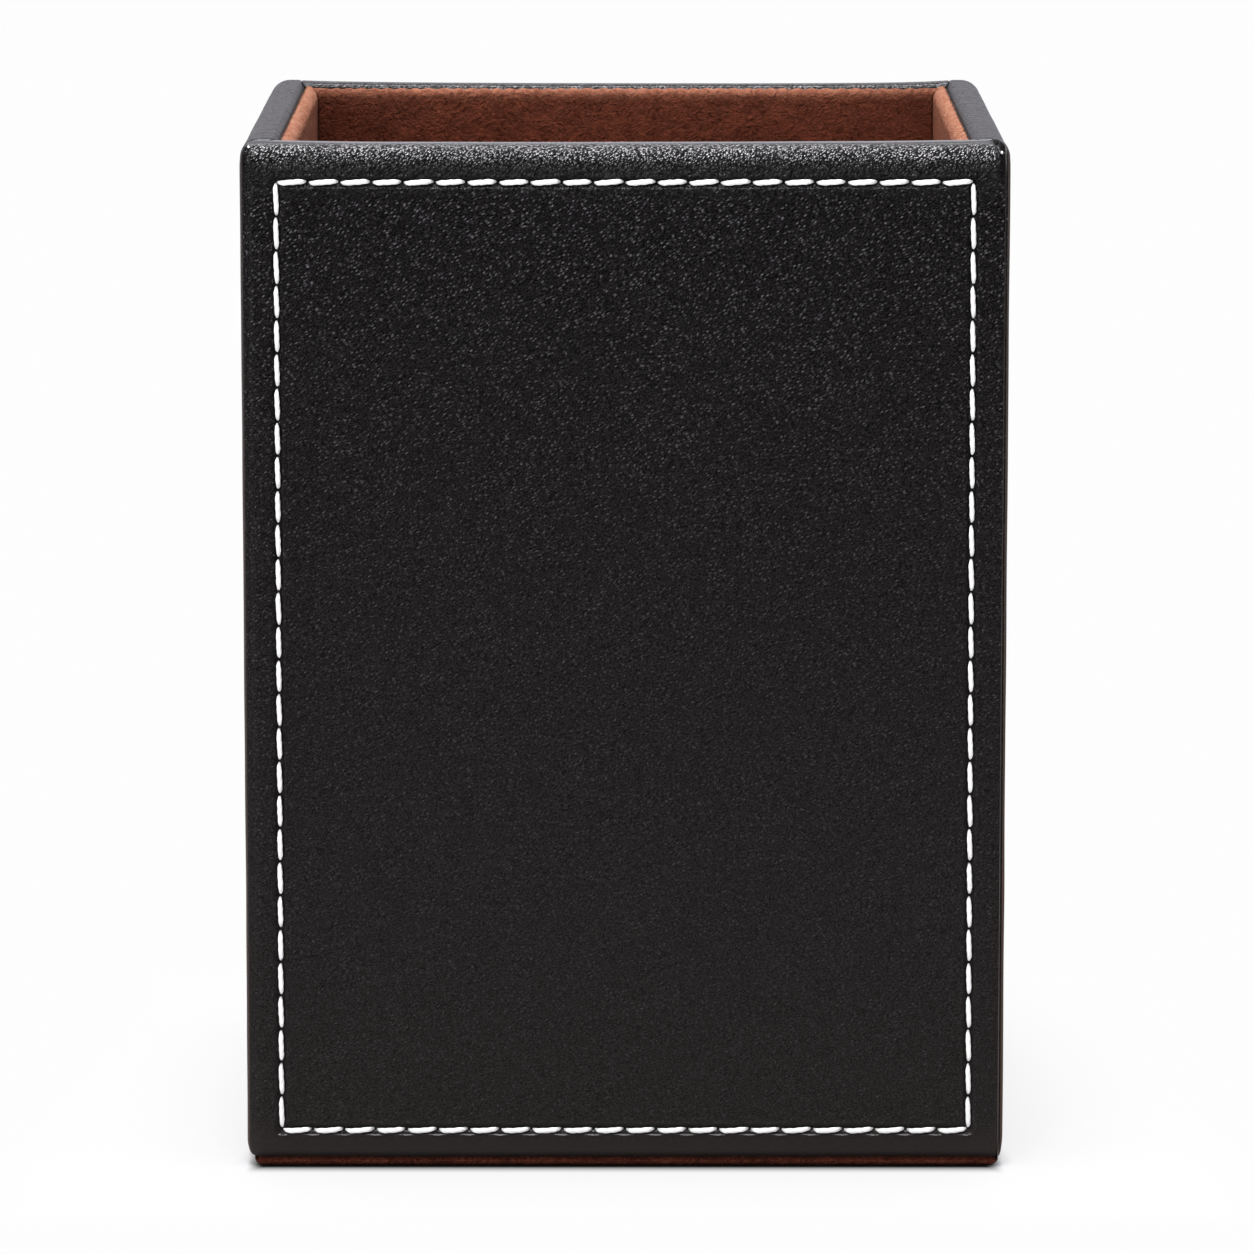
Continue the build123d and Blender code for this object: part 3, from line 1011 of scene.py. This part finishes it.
def build_front(material):
    """Front cover, on a grid that is finer along the seam and at the fold of the upper right corner."""
    panel = Panel("front_leather", (0, -1, 0))
    wrap = Wrap(
        left=1.6, right=0.6, bottom=0.8, top=3.0, inner=0.35, skin=LEATHER, turn_in=LEATHER_TURN_IN,
        square_top=3.2, square_bottom=6.0,
    )
    top_run, right_run, bottom_run, _ = seam_runs(panel)
    fine_u = [(top_run[0].x, *SEAM_LINES), (right_run[0].x, *SEAM_LINES)]
    fine_u.append((panel.width / 2 - FOLD_FROM_EDGE, *FOLD_LINES))
    fine_v = [(top_run[0].y, *SEAM_LINES), (bottom_run[0].y, *SEAM_LINES)]
    u_lines = ticks(panel.width, wrap.left, wrap.right, roll_steps=24, spacing=FRONT_SPACING, fine=fine_u)
    v_lines = ticks(panel.height, wrap.bottom, wrap.top, roll_steps=36, spacing=FRONT_SPACING, fine=fine_v)
    vertices, faces = wrapped_mesh(panel, u_lines, v_lines, wrap, front_shape(panel))
    make_piece("front_leather_cover", vertices, faces, material, "front_leather")
    return panel


def build_walls(wall_leather, back_leather):
    """Side walls with domed rims, and the back wall between them."""
    shared = {"bottom": 0.8, "inner": WALL_INNER_ROLL, "skin": LEATHER, "turn_in": LEATHER_TURN_IN}
    left_wrap = Wrap(left=1.6, right=1.0, top=2.0, square_top=2.6, **shared)
    right_wrap = Wrap(left=1.0, right=1.6, top=2.0, square_top=2.6, **shared)
    back_wrap = Wrap(left=0.4, right=0.4, top=1.8, square_top=6.0, **shared)
    sides = {
        "left": ((-1, 0, 0), left_wrap, wall_shape, wall_leather),
        "right": ((1, 0, 0), right_wrap, wall_shape, wall_leather),
        "back": ((0, 1, 0), back_wrap, back_shape, back_leather),
    }
    for seed, (side, (facing, wrap, shape, material)) in enumerate(sides.items(), start=WALL_SEED):
        panel = Panel(f"{side}_leather", facing)
        u_lines = ticks(panel.width, wrap.left, wrap.right, roll_steps=9, spacing=1.0)
        v_lines = ticks(panel.height, wrap.bottom, wrap.top, roll_steps=9, spacing=1.0)
        vertices, faces = wrapped_mesh(panel, u_lines, v_lines, wrap, shape(panel, seed))
        make_piece(f"{side}_leather_cover", vertices, faces, material, f"{side}_leather")


def build_lining(side_suede_painted_lighter, end_suede_painted_darker):
    """Five suede-wrapped cards."""
    # Finish, facing, rolls of the rim and ends, drop of the rim, reach of the ends
    sides = {
        "left": (side_suede_painted_lighter, (1, 0, 0), SIDE_ROLL, 0.3, 0.0, 0.0),
        "right": (side_suede_painted_lighter, (-1, 0, 0), SIDE_ROLL, 0.3, 0.0, 0.0),
        "front": (end_suede_painted_darker, (0, 1, 0), END_ROLL, 0.15, 0.0, 0.06),
        "back": (end_suede_painted_darker, (0, -1, 0), END_ROLL, 0.15, 0.2, 0.06),
        "floor": (end_suede_painted_darker, (0, 0, 1), SIDE_ROLL, 0.3, 0.0, 0.0),
    }
    for seed, (side, options) in enumerate(sides.items(), start=LINING_SEED):
        material, facing, roll, end_roll, drop, end_fit = options
        node = f"{side}_lining_suede"
        panel = Panel(node, facing)
        wrap = Wrap(
            left=end_roll, right=end_roll, bottom=0.3, top=roll, inner=0.15, skin=SUEDE,
            turn_in=SUEDE_TURN_IN, square_top=4.0, stand_off=0.18, ragged=0.1,
        )
        fine_v = [(panel.height / 2 - LINING_RIM_FROM_TOP, *LINING_RIM_LINES)]
        u_lines = ticks(panel.width, wrap.left, wrap.right, roll_steps=4, spacing=0.35)
        v_lines = ticks(panel.height, wrap.bottom, wrap.top, roll_steps=8, spacing=0.6, fine=fine_v)
        vertices, faces = wrapped_mesh(panel, u_lines, v_lines, wrap, suede_shape(panel, seed, drop, end_fit))
        make_piece(f"{side}_lining_cover", vertices, faces, material, node)


def build_base(material):
    """Closed suede sheet under the cup: rounded corners, an uneven edge, drawn in where it is glued."""
    panel = Panel("base_pad", (0, 0, -1))
    wrap = Wrap(left=0.8, right=0.8, bottom=0.45, top=0.45, inner=0.1, skin=SUEDE, turn_in=SUEDE_TURN_IN)
    u_lines = ticks(panel.width, wrap.left, wrap.right, roll_steps=6, spacing=0.8)
    v_lines = ticks(panel.height, wrap.bottom, wrap.top, roll_steps=6, spacing=0.8)
    u, v = np.meshgrid(u_lines, v_lines)
    face, normal, _ = rolled_face(panel, u.ravel(), v.ravel(), wrap)
    near_edge = np.linalg.norm(normal[:, :2], axis=1)
    face[:, :2] += PAD_RAGGED * normal[:, :2] * (wavy(face, PAD_RAGGED_SIZE, PAD_SEED) - 1)[:, None]
    face[:, 1] += np.sign(face[:, 1]) * PAD_FORWARD * near_edge
    face[:, 0] -= np.where(face[:, 0] < 0, PAD_RIGHT * near_edge, 0)
    ring = border(*u.shape)
    edge = face[ring]
    brim = edge.copy()
    brim[:, 2] = PAD_BRIM
    top = edge - PAD_DRAWN_IN * normal[ring] * np.array([1, 1, 0])
    top[:, 2] = 0
    rings = [brim, top]
    vertices = panel.to_world(np.concatenate([face, *rings]))
    faces = closed_faces(u.shape, ring, len(rings))
    make_piece("base_suede_sheet", vertices, faces, material, "base_pad")


def stitch_mesh(panel, middle, heading, length, lean, thickness, sag, seed):
    """One stitch: a twisted thread that lies aslant on the leather and dives into a hole at each end."""
    share = np.linspace(-1, 1, THREAD_ALONG)
    s = share * (length / 2)
    end = np.abs(share)
    radius = thickness * (1 - STITCH_POINT * end**TAPER_POWER)
    rise = THREAD_RISE - THREAD_DIVE * end**DIVE_POWER
    bend = math.tan(lean) * s * (1 - STITCH_POINT * end**STRAIGHTEN_POWER)
    forward = np.array([math.cos(heading), math.sin(heading)])
    sideways = np.array([-forward[1], forward[0]])
    turn = np.linspace(0, 2 * math.pi, THREAD_AROUND, endpoint=False)
    points = []
    for k in range(THREAD_ALONG):
        twist = PLY_TURNS * math.pi * share[k] + seed * TWIST_STEP
        ply = 1 - PLY_DEPTH * (0.5 - 0.5 * np.cos(THREAD_PLIES * (turn - twist)))
        across = radius[k] * ply * np.cos(turn)
        height = THREAD_FLATNESS * radius[k] * ply * np.sin(turn)
        flat = np.array(middle) + forward * s[k] + sideways * (across + bend[k])[:, None]
        flat[:, 1] -= sag * (1 - end[k] ** 2)
        points.append(np.column_stack([flat, panel.thickness + rise[k] + height]))
    loops = [k * THREAD_AROUND + np.arange(THREAD_AROUND) for k in range(THREAD_ALONG)]
    faces = sleeve_faces(loops)
    faces.append(tuple(int(i) for i in loops[0]))
    faces.append(tuple(int(i) for i in loops[-1][::-1]))
    return np.concatenate(points), faces


def build_stitches(panel, material):
    """The white needle thread: every stitch of the four runs, each a little different."""
    vertices = []
    faces = []
    total = 0
    seed = 0
    for start, end, count, lean in seam_runs(panel):
        run = end - start
        pitch = run.length / count
        upright = abs(run.y) > abs(run.x)
        thickness = COLUMN_THREAD_RADIUS if upright else ROW_THREAD_RADIUS
        sag = 0.0 if upright or start.y > 0 else STITCH_SAG
        heading = math.atan2(run.y, run.x)
        leftward_or_up = run.x < -run.length / 2 or run.y > run.length / 2
        if leftward_or_up:
            heading += math.pi
        for index in range(count):
            seed += 1
            middle = start + run * ((index + 0.5) / count)
            tweak = noise.noise(Vector((seed * STITCH_NOISE_STEP, *STITCH_NOISE_PLACE)))
            length = pitch - NEEDLE_GAP + STITCH_LENGTH_SPREAD * tweak
            slant = lean * (1 + STITCH_LEAN_SPREAD * tweak)
            points, quads = stitch_mesh(panel, tuple(middle), heading, length, slant, thickness, sag, seed)
            faces += [tuple(i + total for i in quad) for quad in quads]
            vertices.append(points)
            total += len(points)
    vertices = panel.to_world(np.concatenate(vertices))
    make_piece("front_stitch_thread", vertices, faces, material, "front_stitching")


def dress_hidden_nodes(thread):
    """Finishes of the pieces inside the covers, which keep the shapes of the solids."""
    board = fibre_board("grey_board", (0.24, 0.225, 0.2), (0.42, 0.4, 0.36), fleck_mm=0.9)
    card = fibre_board("buff_card", (0.38, 0.31, 0.22), (0.56, 0.48, 0.37), fleck_mm=0.7)
    felt = fibre_board("padding_felt", (0.5, 0.49, 0.46), (0.7, 0.69, 0.66), fleck_mm=0.5)
    finishes = {"greyboard": board, "lining_card": card, "padding_felt": felt, "white_thread": thread}
    for entry in frame["record"]["subparts"]:
        node = frame["nodes"][entry["node"]]
        if entry["material_slot"] in finishes:
            node.data.materials.clear()
            node.data.materials.append(finishes[entry["material_slot"]])


def build_floor():
    """White table top: it keeps the cup's shadow close by, has a painted contact shadow in its colour along
    the front of the cup and under it, and is plain white to the eye further away.
    """
    bpy.ops.mesh.primitive_plane_add(size=FLOOR_SIDE_M, location=(0, 0, 0))
    floor = bpy.context.object
    floor.name = "floor"
    graph = Graph(bpy.data.materials.new("white_floor"))
    x, y, _ = graph.axes(graph.place)
    beside = graph.math("ABSOLUTE", x)
    clear = graph.largest(graph.across(y, CONTACT_AHEAD), graph.across(beside, CONTACT_BESIDE))
    # Painted contact shadow in the floor's colour
    tone = graph.ramp(clear, *PAINTED_CONTACT_SHADOW)
    material = graph.finish(Base_Color=tone, Roughness=1.0, Specular_IOR_Level=0.0)
    widened = graph.total(beside, graph.across(y, SHADOW_DEPTH, *SHADOW_NARROWING))
    reach = graph.largest(widened, graph.math("ABSOLUTE", y))
    near = graph.across(reach, NEAR_BAND, 0.0, NEAR_SHARE)
    far = graph.across(reach, FAR_BAND, 0.0, FAR_SHARE)
    away = graph.product(graph.total(near, far), graph.across(y, FOREGROUND_BAND))
    path = graph.add("ShaderNodeLightPath").outputs
    seen = graph.largest(path["Is Camera Ray"], path["Is Glossy Ray"], path["Is Transmission Ray"])
    glow = graph.add("ShaderNodeEmission", {"Color": FLOOR_WHITE, "Strength": 1.0})
    inputs = {0: graph.product(away, seen), 1: graph.shader.outputs[0], 2: glow.outputs[0]}
    mixed = graph.add("ShaderNodeMixShader", inputs)
    output = graph.tree.nodes["Material Output"]
    graph.tree.links.new(mixed.outputs[0], output.inputs["Surface"])
    floor.data.materials.append(material)


def build_world():
    """Soft white studio: bright behind and above the cup, dim at its sides and in front."""
    world = bpy.data.worlds.new("studio")
    bpy.context.scene.world = world
    graph = Graph(world, "Background", "Generated")
    x, y, _ = graph.axes(graph.place)
    aside = graph.math("ABSOLUTE", x)
    level = graph.product(graph.remap(y, *FRONT_TO_BACK), graph.remap(aside, *MIDDLE_TO_SIDE))
    graph.finish(Color=STUDIO_TINT, Strength=level)


def area_light(name, place, target, size, power, color=(1, 1, 1)):
    """Rectangular softbox at a place, turned to a target, in metres and watts."""
    light = bpy.data.lights.new(name, "AREA")
    light.shape = "RECTANGLE"
    light.size, light.size_y = size
    light.energy = power
    light.color = color
    lamp = bpy.data.objects.new(name, light)
    lamp.location = place
    aim = Vector(target) - Vector(place)
    lamp.rotation_euler = aim.to_track_quat("-Z", "Y").to_euler()
    bpy.context.scene.collection.objects.link(lamp)


def build_lights():
    """Softboxes above, behind, to the left and in front: place, target, size, power and tint."""
    centre = (0, 0, 0.06)
    area_light("top_softbox", (0, -0.03, 1.0), (0, -0.03, 0), (0.34, 0.34), 9.0, (0.97, 0.95, 1.0))
    area_light("upper_front_softbox", (-0.04, -0.48, 0.82), (0, -0.04, 0.08), (0.35, 0.35), 5.5)
    area_light("upper_back_softbox", (0, 0.75, 0.95), centre, (0.8, 0.5), 5.0)
    area_light("left_softbox", (-0.93, -0.85, 0.33), (-0.037, -0.037, 0.07), (0.2, 0.6), 6.0)
    area_light("front_softbox", (0.1, -1.5, 0.6), centre, (0.9, 0.6), 0.9)


def build_camera():
    """Camera at the fitted viewpoint."""
    camera = bpy.data.cameras.new("camera")
    camera.sensor_width = SENSOR_MM
    camera.lens = FOCAL_PX * SENSOR_MM / PHOTO_SIDE_PX
    camera.clip_end = CAMERA_SIGHT_M
    eye = bpy.data.objects.new("camera", camera)
    turn = Matrix.Rotation(math.radians(-CAMERA_YAW_DEG), 4, "Z")
    tilt = Matrix.Rotation(math.radians(90 - CAMERA_PITCH_DEG), 4, "X")
    eye.matrix_world = Matrix.Translation(Vector(CAMERA_PLACE_MM) * MM) @ turn @ tilt
    bpy.context.scene.collection.objects.link(eye)
    bpy.context.scene.camera = eye


# Finishes of the leather, the thread and the suede
front_leather = black_leather(
    LeatherFinish(
        "front_leather", rim_grain=0.5, rim_gloss=2.2, rim_streaks=0.1, crest_polish=1.0,
        edge_grain=0.25, edge_gloss_and_painted_light=1.0, crest_start=101.0, crest_coat=0.09,
    )
)
wall_leather = black_leather(
    LeatherFinish(
        "wall_leather", rim_grain=0.12, rim_gloss=0.32, rim_streaks=0.95, crest_polish=1.0, end_gloss=0.45
    )
)
back_leather = black_leather(
    LeatherFinish("back_leather", rim_grain=0.2, rim_gloss=1.2, rim_streaks=0.1, crest_polish=0.6)
)
thread = white_thread()
# One suede painted in two copies: lighter on the side linings, where the lamps fall, and darker on the end
# and floor linings, which lie in shade
side_suede_painted_lighter = brown_suede(
    SuedeFinish(
        "side_suede_painted_lighter", dark=(0.11, 0.024, 0.01), light=(0.27, 0.068, 0.03), rubbed_and_lit=(0.355, 0.172, 0.107),
        upper_wear_and_light=0.3, sheen=0.16,
    )
)
end_suede_painted_darker = brown_suede(
    SuedeFinish(
        "end_suede_painted_darker", dark=(0.045, 0.009, 0.004), light=(0.15, 0.037, 0.018), rubbed_and_lit=(0.34, 0.14, 0.085),
        upper_wear_and_light=0.12, sheen=0.12, corner_shade=0.4,
    )
)
base_suede = brown_suede(
    SuedeFinish(
        "base_suede", dark=(0.04, 0.01, 0.006), light=(0.12, 0.033, 0.02), rubbed_and_lit=(0.12, 0.033, 0.02),
        upper_wear_and_light=0.0, sheen=0.1,
    )
)

front_panel = build_front(front_leather)
build_walls(wall_leather, back_leather)
build_stitches(front_panel, thread)
build_lining(side_suede_painted_lighter, end_suede_painted_darker)
build_base(base_suede)
dress_hidden_nodes(thread)

build_floor()
build_world()
build_lights()
build_camera()
bpy.context.scene.view_settings.view_transform = "Standard"
